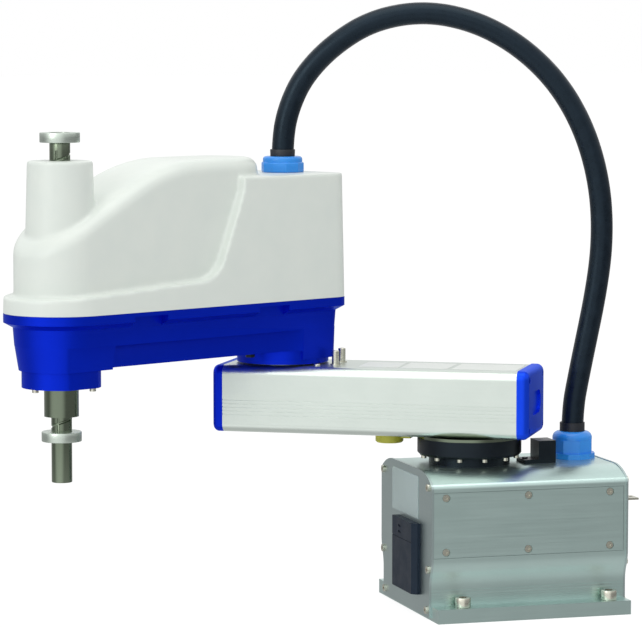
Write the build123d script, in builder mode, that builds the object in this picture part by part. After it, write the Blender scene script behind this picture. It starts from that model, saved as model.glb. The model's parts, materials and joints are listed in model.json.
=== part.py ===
from build123d import *
from math import cos, sin, tan, atan2, degrees, radians, hypot
import os

os.makedirs("parts", exist_ok=True)

# Four-axis arm on a hollow extruded base, all sizes in millimetres
# The origin is the centre of the four base holes on the bottom face
# X runs along the base, the connector end is +X, Z is up

# Links and their angles in the modelled pose
link_1 = 200
link_2 = 300
angle_1 = 149.6
angle_2 = 207.4
axis_1_x = -42.5

# Base
foot_length = 208
foot_left = -109
foot_width = 200
foot_thick = 14.5
bolt_span_x = 158
bolt_span_y = 177
bolt_hole_radius = 5.5
base_top = 150
roof_half = 46
wall_half = 84
waist_half = 77
waist_top = 32
curve_top = 64
fold_height = 137.5
fold_radius = 6
base_wall = 8
ridge_low = 18.6
ridge_pitch = 3
cover_top = 131
cover_right = 96.5
cover_thick = 2
seam_gap = 0.3
plate_thick = 2.3
plate_low = 2.5
plate_grow = 0.6

# First joint
pilot_radius = 38
pilot_low = 126
ring_radius = 42
ring_height = 8.7
joint_gap = 0.3
running_gap = 0.05
hub_bore = 30
big_ring_radius = 54
big_ring_height = 17.5
flange_radius = 53
flange_thick = 3
ring_bolts = 12
ring_bolt_circle = 49.5

# First arm
beam_rear = -58.2
beam_front = 253
beam_width = 94
beam_height = 70
beam_corner = 9
beam_wall = 8
beam_side_wall = 6
front_cap_thick = 11
rear_cap_thick = 12.2
groove_low = 198.4
groove_pitch = 3.8
bumper_reach = 85
bumper_radius = 14.6
bumper_height = 11
pin_circle = 62
pin_side = 13.9
pin_radius = 3.85

# Second joint
reducer_radius = 34
reducer_disc = 35.5
disc_thick = 1.5
boss_radius = 48

# Second arm casting
web_bottom = 265.5
band_bottom = 288
lip_bottom = 306
seam_height = 320
lip_radius = 56.9
rear_corner = 20
rear_corner_back = 22.6
rear_corner_side = 41
lip_overhang = 9.3
web_half = 38
bowl_length = 24
bowl_bottom = 262
nose_radius = 39.3
nose_bottom = 246.3
floor_height = 268
shelf_height = 292

# Second arm cover
cover_wall = 3
rim_top = 333
ledge_front = 338
ledge_slope = 3.43
hump_half = 46.5
tower_radius = 34.7
tower_top_radius = 32
tower_top = 469.8
platform_height = 449
hump_top = 468

# Screw shaft
shaft_radius = 10.25
tool_seat_radius = 10
shaft_low = 151.3
shaft_high = 497.4
collar_radius = 19.9
lower_collar_low = 192.2
upper_collar_low = 487.7
collar_height = 9.7
sleeve_radius = 17.2
sleeve_low = 217.1
pulley_radius = 30
small_pulley_radius = 10
belt_width = 12
belt_thick = 1.5

# Hose and its two glands
hose_radius = 11.5
hose_wall = 2.5
base_gland_x = 73.9
base_gland_y = 7.2
gland_thread_radius = 17
gland_nut_radius = 22


def frame_at(x, y, angle):
    along = (cos(radians(angle)), sin(radians(angle)), 0)
    return Plane(origin=(x, y, 0), x_dir=along, z_dir=(0, 0, 1))


def upright(frame, side):
    # local x along the arm, local y up
    start = frame.from_local_coords((0, side, 0))
    return Plane(origin=start, x_dir=frame.x_dir, z_dir=-frame.y_dir)


def across(frame, reach):
    # local x to the arm's left, local y up, facing along the arm
    start = frame.from_local_coords((reach, 0, 0))
    return Plane(origin=start, x_dir=frame.y_dir, z_dir=frame.x_dir)


# The three vertical axes
joint_1 = frame_at(axis_1_x, 0, angle_1)
elbow = joint_1.from_local_coords((link_1, 0, 0))
joint_2 = frame_at(elbow.X, elbow.Y, angle_2)
wrist = joint_2.from_local_coords((link_2, 0, 0))
joint_3 = frame_at(wrist.X, wrist.Y, angle_2)
base_gland = frame_at(base_gland_x, base_gland_y, 0)
along_1 = Axis(joint_1.origin, joint_1.x_dir)
along_2 = Axis(joint_2.origin, joint_2.x_dir)


def save(part, name):
    part.label = name
    export_step(part, "parts/" + name + ".step")


def body_line(waist, wall, roof, low, low_curve, high_curve, fold, top):
    # half outline of the base body, mirrored about its middle
    Polyline((0, low), (waist, low), (waist, low_curve))
    middle = ((waist + wall) / 2, (low_curve + high_curve) / 2)
    rise = TangentArc((waist, low_curve), middle, tangent=(0, 1))
    settle = TangentArc(middle, (wall, high_curve), tangent=rise % 1)
    Line((wall, high_curve), (wall, fold))
    TangentArc((roof, top), (wall, fold), tangent=(1, 0))
    Line((roof, top), (0, top))
    mirror(about=Plane.YZ)


def fold_edges(part, wall, fold):
    return part.edges().filter_by(Axis.X).filter_by(
        lambda edge: abs(abs(edge.center().Y) - wall) < 0.1 and abs(edge.center().Z - fold) < 0.1
    )


# Base frame, one extrusion with the foot flanges
foot_right = foot_left + foot_length
with BuildPart() as base_frame:
    with BuildSketch(Plane.YZ.offset(foot_left)):
        with BuildLine():
            body_line(waist_half, wall_half, roof_half, foot_thick, waist_top, curve_top, fold_height, base_top)
        make_face()
    extrude(amount=foot_length)
    fillet(fold_edges(base_frame, wall_half, fold_height), fold_radius)
    with BuildSketch():
        with Locations(((foot_left + foot_right) / 2, 0)):
            Rectangle(foot_length, foot_width)
    extrude(amount=foot_thick)
    with BuildSketch(Plane.YZ.offset(foot_left)):
        with BuildLine():
            body_line(
                waist_half - base_wall, wall_half - base_wall, roof_half, foot_thick,
                waist_top + 3, curve_top, fold_height - base_wall / 2, base_top - base_wall,
            )
        make_face()
    extrude(amount=foot_length, mode=Mode.SUBTRACT)
    with BuildSketch():
        with GridLocations(bolt_span_x, bolt_span_y, 2, 2):
            Circle(bolt_hole_radius)
    extrude(amount=foot_thick, mode=Mode.SUBTRACT)
    for side in (-1, 1):
        with Locations(((foot_left + cover_right) / 2, side * (wall_half - cover_thick / 2), (curve_top + cover_top) / 2)):
            Box(cover_right - foot_left, cover_thick, cover_top - curve_top, mode=Mode.SUBTRACT)
        for row in range(5):
            with Locations(((foot_left + foot_right) / 2, side * waist_half, ridge_low + row * ridge_pitch)):
                Box(foot_length, 1.6, 1.2, mode=Mode.SUBTRACT)
    with BuildSketch(joint_1.offset(base_top)):
        Circle(pilot_radius + running_gap)
    extrude(amount=-base_wall, mode=Mode.SUBTRACT)
    with BuildSketch(base_gland.offset(base_top)):
        Circle(gland_thread_radius)
    extrude(amount=-base_wall, mode=Mode.SUBTRACT)
save(base_frame.part, "base_frame")

# End plates, proud of the foot and a little larger than the body
def end_plate(inner_x, outward):
    with BuildPart() as plate:
        with BuildSketch(Plane.YZ.offset(inner_x)):
            with BuildLine():
                body_line(
                    waist_half, wall_half + plate_grow, roof_half, plate_low,
                    waist_top, curve_top, fold_height, base_top + plate_grow,
                )
            make_face()
        extrude(amount=outward * plate_thick)
        fillet(fold_edges(plate, wall_half + plate_grow, fold_height), fold_radius)
    return plate.part


battery_low = 22
battery_high = 95
battery_right = 22
battery_left = -47
plate_screws = [(75.2, 136), (75, 52), (70, 10)]

with BuildPart() as front_end_plate:
    add(end_plate(foot_left, -1))
    with Locations((foot_left, (battery_left + battery_right) / 2, (battery_low + battery_high) / 2)):
        Box(4 * plate_thick, 56, 60, mode=Mode.SUBTRACT)
save(front_end_plate.part, "front_end_plate")

connector_y = -30
connector_z = 108
with BuildPart() as rear_end_plate:
    add(end_plate(foot_right, 1))
    with Locations((foot_right, connector_y, connector_z)):
        Box(4 * plate_thick, 46, 20, mode=Mode.SUBTRACT)
    with Locations((foot_right, 30, connector_z)):
        Box(4 * plate_thick, 30, 14, mode=Mode.SUBTRACT)
save(rear_end_plate.part, "rear_end_plate")

with BuildPart() as end_plate_screws:
    for outer, outward in ((foot_left - plate_thick, -1), (foot_right + plate_thick, 1)):
        with BuildSketch(Plane.YZ.offset(outer)):
            for y, z in plate_screws:
                with Locations((y, z), (-y, z)):
                    Circle(3.9)
        extrude(amount=outward * 2.4)
        with BuildSketch(Plane.YZ.offset(outer + outward * 1.2)):
            for y, z in plate_screws:
                with Locations((y, z), (-y, z)):
                    RegularPolygon(1.7, 6)
        extrude(amount=outward * 1.2, mode=Mode.SUBTRACT)
save(end_plate_screws.part, "end_plate_screws")

# Flush covers on the two long sides
cover_screw_x = (-95.5, -7.2, 81.5)
cover_screw_z = (70.2, 125.6)


def side_cover(side):
    with BuildPart() as cover:
        middle_x = (foot_left + cover_right) / 2
        with Locations((middle_x, side * (wall_half - cover_thick / 2), (curve_top + cover_top) / 2)):
            Box(cover_right - foot_left - 2 * seam_gap, cover_thick, cover_top - curve_top - 2 * seam_gap)
        with Locations(*[
            Location((x, side * wall_half, z), (90, 0, 0)) for x in cover_screw_x for z in cover_screw_z
        ]):
            Cylinder(4.15, 2 * cover_thick, mode=Mode.SUBTRACT)
    return cover.part


save(side_cover(-1), "side_cover_near")
save(side_cover(1), "side_cover_far")

with BuildPart() as side_cover_screws:
    for side in (-1, 1):
        seat = Plane(origin=(0, side * (wall_half - cover_thick), 0), x_dir=(1, 0, 0), z_dir=(0, side, 0))
        with BuildSketch(seat):
            with Locations(*[(x, -side * z) for x in cover_screw_x for z in cover_screw_z]):
                Circle(3.7)
        extrude(amount=1.6)
        with BuildSketch(seat.offset(0.8)):
            with Locations(*[(x, -side * z) for x in cover_screw_x for z in cover_screw_z]):
                RegularPolygon(1.5, 6)
        extrude(amount=0.8, mode=Mode.SUBTRACT)
save(side_cover_screws.part, "side_cover_screws")

# Battery compartment on the front plate
front_face = foot_left - plate_thick
with BuildPart() as battery_cover:
    with BuildSketch(Plane.YZ.offset(front_face)):
        with Locations(((battery_left + battery_right) / 2, (battery_low + battery_high) / 2)):
            Rectangle(battery_right - battery_left, battery_high - battery_low)
    extrude(amount=-8)
    chamfer(battery_cover.faces().sort_by(Axis.X)[0].edges().sort_by(Axis.Y)[0], 5)
    with Locations((front_face, (battery_left + battery_right) / 2, (battery_low + battery_high) / 2)):
        Box(11, 60, 64, mode=Mode.SUBTRACT)
    for z in (battery_high - 8, battery_high - 14):
        with Locations((front_face - 8, -3, z)):
            Box(2, 9, 2.2, mode=Mode.SUBTRACT)
    with Locations((front_face - 8, (battery_left + battery_right) / 2, battery_high - 20)):
        Box(1, battery_right - battery_left, 0.8, mode=Mode.SUBTRACT)
save(battery_cover.part, "battery_cover")

with BuildPart() as battery_pack:
    with Locations((foot_left + 9, (battery_left + battery_right) / 2, (battery_low + battery_high) / 2)):
        Box(18, 55, 59)
        with Locations((-6, 0, 2)):
            Box(18, 51, 51, mode=Mode.SUBTRACT)
    with BuildSketch(Plane.XY.offset(36)):
        with Locations(*[(foot_left + 5.5, (battery_left + battery_right) / 2 + dy) for dy in (-17.6, 0, 17.6)]):
            Circle(8.6)
    extrude(amount=48)
save(battery_pack.part, "battery_pack")

# Connector end
rear_face = foot_right + plate_thick


def panel_connector(y, z, width, height, proud):
    with BuildPart() as connector:
        with Locations((rear_face + 1.5, y, z)):
            Box(3, width + 10, height + 8)
        with Locations((rear_face + (proud - 14) / 2, y, z)):
            Box(proud + 14, width, height)
        fillet(connector.edges().filter_by(Axis.X), 2.5)
        with Locations((rear_face + proud, y, z)):
            Box(12, width - 5, height - 5, mode=Mode.SUBTRACT)
    return connector.part


save(panel_connector(connector_y, connector_z, 44, 18, 13), "motor_connector")
save(panel_connector(30, connector_z, 28, 12, 10), "signal_connector")

with BuildPart() as air_fittings:
    with BuildSketch(Plane.YZ.offset(rear_face)):
        with Locations((-24, 76), (0, 76), (24, 76)):
            RegularPolygon(7, 6)
    extrude(amount=6)
    with BuildSketch(Plane.YZ.offset(rear_face + 6)):
        with Locations((-24, 76), (0, 76), (24, 76)):
            Circle(5)
    extrude(amount=9)
    with BuildSketch(Plane.YZ.offset(rear_face)):
        with Locations((-24, 76), (0, 76), (24, 76)):
            Circle(2)
    extrude(amount=15, mode=Mode.SUBTRACT)
save(air_fittings.part, "air_fittings")

with BuildPart() as cable_bracket:
    with Locations((rear_face + 7, -68, 116)):
        Box(14, 20, 2)
    with Locations((rear_face + 1, -68, 121)):
        Box(2, 20, 12)
    with BuildSketch(Plane.XY.offset(115)):
        with Locations((rear_face + 9, -68)):
            Circle(2.2)
    extrude(amount=2, mode=Mode.SUBTRACT)
    with BuildSketch(Plane.YZ.offset(rear_face + 2)):
        with Locations((-68, 122.5)):
            RegularPolygon(3.6, 6)
    extrude(amount=3)
save(cable_bracket.part, "cable_bracket")

# First joint reducer, motor and stop
ring_top = base_top + ring_height
with BuildPart() as j1_reducer_housing:
    with BuildSketch(joint_1.offset(pilot_low)):
        Circle(pilot_radius)
    extrude(amount=base_top - pilot_low)
    with BuildSketch(joint_1.offset(base_top)):
        Circle(ring_radius)
    extrude(amount=ring_height)
    with BuildSketch(joint_1.offset(pilot_low + 8)):
        Circle(hub_bore)
    extrude(amount=base_top + ring_height, mode=Mode.SUBTRACT)
    with BuildSketch(joint_1.offset(pilot_low)):
        Circle(9)
    extrude(amount=8, mode=Mode.SUBTRACT)
save(j1_reducer_housing.part, "j1_reducer_housing")

with BuildPart() as j1_motor:
    with BuildSketch(joint_1.offset(pilot_low)):
        RectangleRounded(70, 70, 6)
    extrude(amount=-8)
    with BuildSketch(joint_1.offset(pilot_low - 8)):
        RectangleRounded(60, 60, 5)
    extrude(amount=-62)
    with BuildSketch(joint_1.offset(pilot_low - 70)):
        RectangleRounded(54, 54, 5)
    extrude(amount=-14)
    with BuildSketch(joint_1.offset(pilot_low)):
        Circle(7)
    extrude(amount=7.5)
save(j1_motor.part, "j1_motor")

with BuildPart() as j1_stop_block:
    with Locations((32.65, -17, (base_top + 173.3) / 2)):
        Box(18.7, 26, 173.3 - base_top)
    with Locations((25, -17, base_top + 2)):
        Box(34, 26, 4)
    with Locations((12.5, -17, base_top + 4)):
        Cylinder(3, 3)
save(j1_stop_block.part, "j1_stop_block")


def gland_body(frame, seat, wall):
    with BuildPart() as body:
        with BuildSketch(frame.offset(seat)):
            RegularPolygon(24, 12)
        extrude(amount=5.5)
        with BuildSketch(frame.offset(seat + 5.5)):
            Circle(gland_thread_radius - 0.2)
        extrude(amount=6)
        with BuildSketch(frame.offset(seat)):
            Circle(gland_thread_radius - 0.2)
        extrude(amount=-wall - 9)
        with BuildSketch(frame.offset(seat - wall)):
            RegularPolygon(22, 6)
        extrude(amount=-6)
        with BuildSketch(frame.offset(seat - wall - 9)):
            Circle(hose_radius)
        extrude(amount=wall + 9 + 11.5, mode=Mode.SUBTRACT)
    return body.part


def gland_nut(frame, seat, height):
    with BuildPart() as nut:
        with BuildSketch(frame.offset(seat)):
            RegularPolygon(gland_nut_radius, 8)
        extrude(amount=height * 0.62)
        with BuildSketch(frame.offset(seat + height * 0.62)):
            Circle(gland_nut_radius * 0.94)
        extrude(amount=height * 0.38)
        fillet(nut.edges().group_by(Axis.Z)[-1], height * 0.3)
        with BuildSketch(frame.offset(seat)):
            Circle(gland_thread_radius - 0.2)
        extrude(amount=6, mode=Mode.SUBTRACT)
        with BuildSketch(frame.offset(seat)):
            Circle(hose_radius + 1.6)
        extrude(amount=height, mode=Mode.SUBTRACT)
    return nut.part


def gland_seal(frame, low, high):
    with BuildPart() as seal:
        with BuildSketch(frame.offset(low)):
            Circle(hose_radius + 1.6)
            Circle(hose_radius, mode=Mode.SUBTRACT)
        extrude(amount=high - low)
    return seal.part


platform = joint_2
save(gland_body(base_gland, base_top, base_wall), "base_gland_body")
save(gland_nut(base_gland, base_top + 5.5, 22.5), "base_gland_nut")
save(gland_seal(base_gland, base_top + 11.5, 187), "base_gland_seal")

# First arm, hollow extruded beam
beam_low = base_top + ring_height + joint_gap + big_ring_height + flange_thick
beam_top = beam_low + beam_height
beam_middle = beam_low + beam_height / 2
with BuildPart() as arm_1_beam:
    with BuildSketch(across(joint_1, beam_rear)):
        with Locations((0, beam_middle)):
            RectangleRounded(beam_width, beam_height, beam_corner)
            RectangleRounded(
                beam_width - 2 * beam_side_wall, beam_height - 2 * beam_wall, 4, mode=Mode.SUBTRACT
            )
    extrude(amount=beam_front - beam_rear)
    with BuildSketch(across(joint_1, beam_rear)):
        for row in range(5):
            with Locations((beam_width / 2, groove_low + row * groove_pitch), (-beam_width / 2, groove_low + row * groove_pitch)):
                Rectangle(1.8, 1.2)
    extrude(amount=beam_front - beam_rear, mode=Mode.SUBTRACT)
    with BuildSketch(joint_1.offset(beam_top)):
        with Locations((link_1, 0)):
            Circle(reducer_radius + running_gap)
    extrude(amount=-beam_wall, mode=Mode.SUBTRACT)
    with BuildSketch(joint_1.offset(beam_low)):
        Circle(20)
    extrude(amount=beam_wall, mode=Mode.SUBTRACT)
save(arm_1_beam.part, "arm_1_beam")

cap_screws = [(side * 38, beam_middle + lift) for side in (-1, 1) for lift in (-26, 26)]
with BuildPart() as arm_1_front_cap:
    with BuildSketch(across(joint_1, beam_front)):
        with Locations((0, beam_middle)):
            RectangleRounded(beam_width, beam_height, beam_corner)
    extrude(amount=front_cap_thick)
    fillet(arm_1_front_cap.faces().sort_by(along_1)[-1].edges(), 6)
    with BuildSketch(across(joint_1, beam_front + front_cap_thick)):
        with Locations(*cap_screws):
            Circle(3.2)
    extrude(amount=-6, mode=Mode.SUBTRACT)
save(arm_1_front_cap.part, "arm_1_front_cap")

with BuildPart() as arm_1_rear_cap:
    with BuildSketch(across(joint_1, beam_rear)):
        with Locations((0, beam_middle + 0.5)):
            RectangleRounded(beam_width, beam_height + 1, beam_corner)
    extrude(amount=-rear_cap_thick)
    fillet(arm_1_rear_cap.faces().sort_by(along_1)[0].edges(), 7)
    with BuildSketch(across(joint_1, beam_rear - rear_cap_thick)):
        with Locations((0, beam_middle)):
            SlotOverall(50, 24)
    extrude(amount=3, mode=Mode.SUBTRACT)
    with BuildSketch(across(joint_1, beam_rear - rear_cap_thick)):
        with Locations(*cap_screws):
            Circle(3.2)
    extrude(amount=6, mode=Mode.SUBTRACT)
save(arm_1_rear_cap.part, "arm_1_rear_cap")

with BuildPart() as cap_screw_heads:
    for reach, inward in ((beam_front + front_cap_thick - 6, 1), (beam_rear - rear_cap_thick + 6, -1)):
        with BuildSketch(across(joint_1, reach)):
            with Locations(*cap_screws):
                Circle(2.9)
        extrude(amount=inward * 3)
        with BuildSketch(across(joint_1, reach + inward * 1.5)):
            with Locations(*cap_screws):
                RegularPolygon(1.4, 6)
        extrude(amount=inward * 1.5, mode=Mode.SUBTRACT)
save(cap_screw_heads.part, "cap_screw_heads")

# Rotating rings of the first joint
big_ring_low = ring_top + joint_gap
flange_low = big_ring_low + big_ring_height
with BuildPart() as j1_output_ring:
    with BuildSketch(joint_1.offset(big_ring_low)):
        Circle(big_ring_radius)
    extrude(amount=big_ring_height)
    chamfer(j1_output_ring.edges().group_by(Axis.Z)[0], 2.5)
    with BuildSketch(joint_1.offset(pilot_low + 8.5)):
        Circle(hub_bore - running_gap)
    extrude(amount=big_ring_low - pilot_low - 8.5)
    with BuildSketch(joint_1.offset(pilot_low + 8.5)):
        Circle(12)
    extrude(amount=big_ring_height + big_ring_low, mode=Mode.SUBTRACT)
save(j1_output_ring.part, "j1_output_ring")

with BuildPart() as j1_ring_bolts:
    with BuildSketch(joint_1.offset(big_ring_low)):
        with PolarLocations(ring_bolt_circle, ring_bolts):
            Circle(2.75)
    extrude(amount=-3)
    with BuildSketch(joint_1.offset(big_ring_low - 3)):
        with PolarLocations(ring_bolt_circle, ring_bolts):
            RegularPolygon(1.5, 6)
    extrude(amount=1.6, mode=Mode.SUBTRACT)
save(j1_ring_bolts.part, "j1_ring_bolts")

with BuildPart() as j1_output_flange:
    with BuildSketch(joint_1.offset(flange_low)):
        Circle(flange_radius)
        Circle(20, mode=Mode.SUBTRACT)
    extrude(amount=flange_thick)
save(j1_output_flange.part, "j1_output_flange")

with BuildPart() as stop_bumper:
    with BuildSketch(joint_1.offset(beam_low)):
        with Locations((bumper_reach, 0)):
            Circle(bumper_radius)
    extrude(amount=-bumper_height)
    chamfer(stop_bumper.edges().group_by(Axis.Z)[0], 1.5)
    with BuildSketch(joint_1.offset(beam_low)):
        with Locations((bumper_reach - bumper_radius - 3, 0)):
            Rectangle(12, 12)
    extrude(amount=-6)
save(stop_bumper.part, "stop_bumper")

pin_back = link_1 - (pin_circle ** 2 - pin_side ** 2) ** 0.5
with BuildPart() as j2_stop_pins:
    with BuildSketch(joint_1.offset(beam_top)):
        with Locations((pin_back, pin_side), (pin_back, -pin_side)):
            Circle(pin_radius)
    extrude(amount=15)
    fillet(j2_stop_pins.edges().group_by(Axis.Z)[-1], 1)
    with BuildSketch(joint_1.offset(beam_top)):
        with Locations((pin_back, pin_side), (pin_back, -pin_side)):
            Circle(pin_radius + 1.6)
    extrude(amount=1)
save(j2_stop_pins.part, "j2_stop_pins")

with BuildPart() as beam_top_screw:
    with BuildSketch(joint_1.offset(beam_top)):
        with Locations((156, 28)):
            Circle(3.6)
    extrude(amount=2)
    fillet(beam_top_screw.edges().group_by(Axis.Z)[-1], 1)
    with BuildSketch(joint_1.offset(beam_top + 1)):
        with Locations((156, 28)):
            RegularPolygon(1.4, 6)
    extrude(amount=1, mode=Mode.SUBTRACT)
save(beam_top_screw.part, "beam_top_screw")

# Second joint, reducer under the beam top and hub fixed to the casting
disc_top = beam_top + disc_thick
boss_bottom = disc_top + joint_gap
with BuildPart() as j2_reducer:
    with BuildSketch(joint_2.offset(beam_top)):
        Circle(reducer_disc)
    extrude(amount=disc_thick)
    with BuildSketch(joint_2.offset(beam_top)):
        Circle(reducer_radius)
    extrude(amount=-44)
    with BuildSketch(joint_2.offset(disc_top)):
        Circle(hub_bore)
    extrude(amount=-15, mode=Mode.SUBTRACT)
    with BuildSketch(joint_2.offset(beam_top - 38)):
        Circle(10)
    extrude(amount=40, mode=Mode.SUBTRACT)
save(j2_reducer.part, "j2_reducer")

with BuildPart() as j2_output_hub:
    with BuildSketch(joint_2.offset(disc_top - 14)):
        Circle(hub_bore - running_gap)
        Circle(9, mode=Mode.SUBTRACT)
    extrude(amount=floor_height - disc_top + 14)
save(j2_output_hub.part, "j2_output_hub")


# Second arm casting
def arm_outline(inset):
    # plan outline, a round nose and two rounded rear corners
    with Locations((link_2, 0)):
        Circle(lip_radius - inset)
    with Locations((-rear_corner_back, rear_corner_side), (-rear_corner_back, -rear_corner_side)):
        Circle(rear_corner - inset)
    make_hull()


lip_height = seam_height - lip_bottom
band_taper = 4.5
band_inset = lip_overhang + (lip_bottom - band_bottom) * tan(radians(band_taper))
with BuildPart() as arm_2_casting:
    with BuildSketch(joint_2.offset(lip_bottom)):
        arm_outline(0)
    extrude(amount=lip_height)
    with BuildSketch(joint_2.offset(lip_bottom)):
        arm_outline(lip_overhang)
    extrude(amount=band_bottom - lip_bottom, taper=band_taper)
    with BuildSketch(joint_2.offset(band_bottom)) as web:
        Polygon(
            (-32.5, 50), (17, 50), (49, web_half), (link_2, web_half),
            (link_2, -web_half), (49, -web_half), (17, -50), (-32.5, -50), align=None,
        )
        fillet(web.vertices().group_by(Axis.X)[0], 9)
    extrude(amount=web_bottom - band_bottom, taper=band_taper)
    bowl_half = lip_radius - band_inset
    with BuildSketch(joint_2.offset(band_bottom)):
        with BuildLine():
            Polyline(
                (link_2, bowl_half), (link_2 - bowl_length, bowl_half),
                (link_2 - bowl_length, -bowl_half), (link_2, -bowl_half),
            )
            ThreePointArc((link_2, -bowl_half), (link_2 + bowl_half, 0), (link_2, bowl_half))
        make_face()
    extrude(amount=bowl_bottom - band_bottom, taper=9)
    with BuildSketch(joint_2.offset(nose_bottom)):
        with Locations((link_2, 0)):
            Circle(nose_radius)
    extrude(amount=bowl_bottom - nose_bottom)
    with BuildSketch(joint_2.offset(boss_bottom)):
        Circle(boss_radius)
    extrude(amount=band_bottom - 10 - boss_bottom)
    with BuildSketch(joint_2.offset(boss_bottom)):
        with Locations((pin_circle, 0)):
            RectangleRounded(9, 35.4, 2)
    extrude(amount=web_bottom + 2 - boss_bottom)
    with BuildSketch(joint_2.offset(floor_height)):
        with Locations((-8, 0)):
            RectangleRounded(44, 84, 5)
        Polygon((14, 42), (44, 32), (link_2, 32), (link_2, -32), (44, -32), (14, -42), align=None)
        with Locations((link_2, 0)):
            Circle(36)
    extrude(amount=shelf_height - floor_height, mode=Mode.SUBTRACT)
    with BuildSketch(joint_2.offset(shelf_height)):
        arm_outline(lip_overhang + 5.6)
    extrude(amount=seam_height - shelf_height, mode=Mode.SUBTRACT)
    with BuildSketch(joint_2.offset(lip_bottom)):
        for reach, length in ((228.5, 39), (63.5, 45)):
            with Locations((reach, 62), (reach, -62)):
                Rectangle(length, 2 * 62 - 2 * 50.2)
    extrude(amount=9.5, mode=Mode.SUBTRACT)
    with BuildSketch(joint_2.offset(nose_bottom)):
        with Locations((link_2, 0)):
            Circle(sleeve_radius + 1.3)
    extrude(amount=30, mode=Mode.SUBTRACT)
    with BuildSketch(joint_2.offset(nose_bottom + 2)):
        with Locations((link_2, 0)):
            Circle(26)
    extrude(amount=30, mode=Mode.SUBTRACT)
    with BuildSketch(joint_2.offset(boss_bottom)):
        Circle(hub_bore - running_gap)
    extrude(amount=40, mode=Mode.SUBTRACT)
    with BuildSketch(joint_2.offset(floor_height)):
        with Locations((262, 27), (262, -27), (130, 27), (130, -27)):
            Circle(4)
    extrude(amount=30)
save(arm_2_casting.part, "arm_2_casting")

with BuildPart() as boss_screws:
    with BuildSketch(joint_2.offset(nose_bottom)):
        with Locations((link_2, 0)):
            with PolarLocations(32, 6, 15):
                Circle(3.2)
    extrude(amount=-2.6)
    with BuildSketch(joint_2.offset(nose_bottom - 2.6)):
        with Locations((link_2, 0)):
            with PolarLocations(32, 6, 15):
                RegularPolygon(1.5, 6)
    extrude(amount=1.4, mode=Mode.SUBTRACT)
save(boss_screws.part, "boss_screws")


# Moulded cover: rim with sloping ledge, rear box, hump and tower
def rim(inset):
    with BuildPart() as shape:
        with BuildSketch(joint_2.offset(seam_height)):
            arm_outline(inset)
        extrude(amount=42)
        tip = joint_2.from_local_coords((link_2 + 60, 0, ledge_front - inset))
        lean = joint_2.x_dir * sin(radians(ledge_slope)) + joint_2.z_dir * cos(radians(ledge_slope))
        split(bisect_by=Plane(origin=tip, x_dir=joint_2.y_dir, z_dir=lean), keep=Keep.BOTTOM)
        if inset == 0:
            fillet(shape.faces().sort_by(Axis.Z)[-1].edges(), 4.5)
    return shape.part


def rear_box(inset):
    height = platform_height - inset
    with BuildPart() as shape:
        with BuildSketch(joint_2.offset(seam_height)):
            arm_outline(inset)
        extrude(amount=height - seam_height, taper=1.2)
        with BuildSketch(upright(joint_2, 0)):
            Polygon(
                (-70, seam_height), (-70, height), (98 - inset, height), (112 - inset, 417),
                (126 - inset, 378), (146 - inset, 354), (156 - inset, 345), (162 - inset, seam_height), align=None,
            )
        extrude(amount=80, both=True, mode=Mode.INTERSECT)
        if inset == 0:
            fillet(shape.faces().sort_by(Axis.Z)[-1].edges(), 4)
    return shape.part


def hump(inset):
    top = hump_top - inset
    crest = [(60, 378), (-2, 402), (-35, 429), (-70, 451), (-112, 462.5), (-180, hump_top)]
    with BuildPart() as shape:
        with BuildSketch(joint_2.offset(seam_height)):
            with Locations(((link_2 + 84) / 2, 0)):
                SlotCenterToCenter(link_2 - 84, 2 * (hump_half - inset))
        extrude(amount=top - seam_height)
        with BuildSketch(upright(joint_2, 0)):
            with BuildLine():
                rise = Spline(
                    *[(link_2 + reach, height - inset) for reach, height in crest], tangents=[(-1, 0.3), (-1, 0)]
                )
                Polyline(rise @ 1, (20, top), (20, seam_height), (link_2 + 60, seam_height), rise @ 0)
            make_face()
        extrude(amount=80, both=True, mode=Mode.INTERSECT)
        if inset == 0:
            rounded = shape.edges().filter_by(lambda edge: edge.bounding_box().min.Z > 370)
            straight = Axis(joint_2.origin, joint_2.y_dir)
            fillet(rounded - rounded.filter_by(straight), 8)
    return shape.part


def tower(inset):
    with BuildPart() as shape:
        with BuildSketch(joint_3.offset(372)):
            Circle(tower_radius + 1 - inset)
        extrude(amount=tower_top - inset - 372, taper=2.2)
        if inset == 0:
            fillet(shape.edges().group_by(Axis.Z)[-1], 6)
    return shape.part


with BuildPart() as arm_2_cover:
    for shape in (rim, rear_box, hump, tower):
        add(shape(0))
    for shape in (rim, rear_box, hump, tower):
        add(shape(cover_wall), mode=Mode.SUBTRACT)
    with BuildSketch(joint_3.offset(tower_top)):
        Circle(shaft_radius + 2)
    extrude(amount=-2 * cover_wall, mode=Mode.SUBTRACT)
    with BuildSketch(joint_2.offset(hump_top)):
        Circle(gland_thread_radius)
    extrude(amount=-40, mode=Mode.SUBTRACT)
save(arm_2_cover.part, "arm_2_cover")

# Arm 2 gland stands on the cover's rear platform
save(gland_body(joint_2, platform_height, cover_wall), "arm_gland_body")
save(gland_nut(joint_2, platform_height + 5.5, 15), "arm_gland_nut")
save(gland_seal(joint_2, platform_height + 11.5, 473), "arm_gland_seal")

# Motors, plates and belts inside the second arm
plate_low_z = floor_height + 30
plate_high_z = plate_low_z + 6
theta_belt_low = 277
z_belt_low = 325
bracket_low = 342
theta_motor_reach = 220
z_motor_reach = 150

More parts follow.
